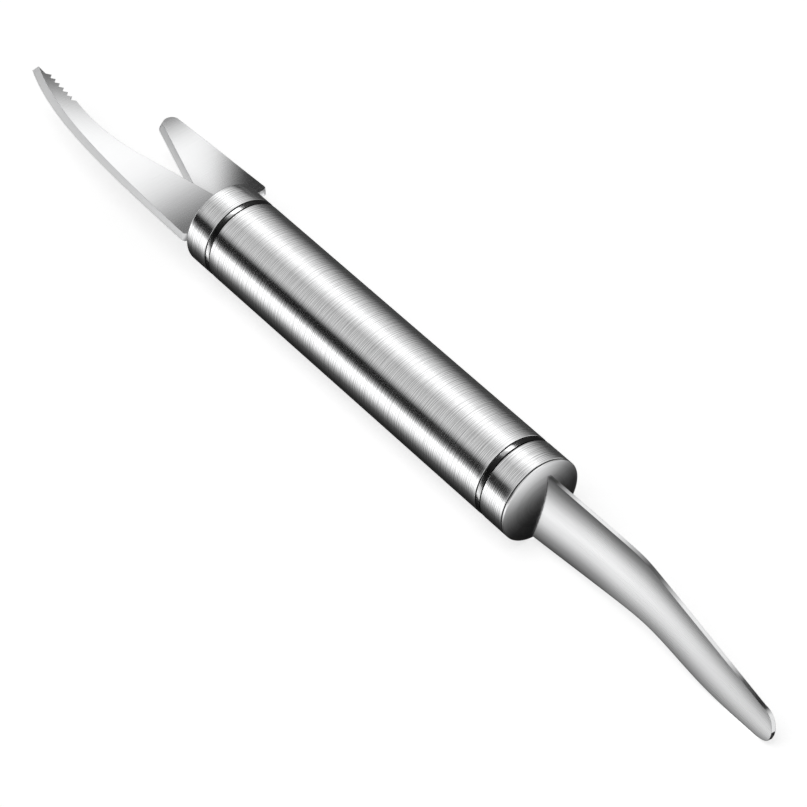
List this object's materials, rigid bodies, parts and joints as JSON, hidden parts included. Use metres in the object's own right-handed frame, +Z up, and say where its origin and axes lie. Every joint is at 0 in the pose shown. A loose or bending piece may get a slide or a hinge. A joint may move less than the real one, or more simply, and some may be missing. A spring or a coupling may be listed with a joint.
{
  "type": "shrimp deveiner",
  "caption": "Double-ended kitchen hand tool: a round brushed steel handle with a forked, partly serrated blade at the front and a bent trough scraper at the rear.",
  "frame": {"origin": "middle of the box around the tool, on the surface that the handle lies on", "axes": "+X along the handle from the blades to the scraper, +Y towards the prong's side, +Z up from the flat of the blades"},
  "size_m": [0.2324, 0.0234, 0.019],
  "materials": {
    "brushed_steel": "brushed round the handle",
    "blade_steel": "fine satin",
    "polished_ring": "dark mirror polish",
    "seal_rubber": "matt black",
    "core_plastic": "as moulded",
    "pin_steel": "plain drawn"
  },
  "bodies": {
    "root": {"handle_tube": "brushed_steel", "front_ferrule": "brushed_steel", "rear_ferrule": "brushed_steel", "front_cap": "brushed_steel", "rear_cap": "brushed_steel", "front_ring": "polished_ring", "rear_ring": "polished_ring", "front_seal_outer": "seal_rubber", "front_seal_inner": "seal_rubber", "rear_seal_inner": "seal_rubber", "rear_seal_outer": "seal_rubber", "curved_blade": "blade_steel", "prong_blade": "blade_steel", "scraper": "blade_steel", "front_core_clamp": "core_plastic", "front_core_channel": "core_plastic", "rear_core_near": "core_plastic", "rear_core_far": "core_plastic", "front_pin_1": "pin_steel", "front_pin_2": "pin_steel", "rear_pin_1": "pin_steel", "rear_pin_2": "pin_steel"}
  },
  "joints": []
}
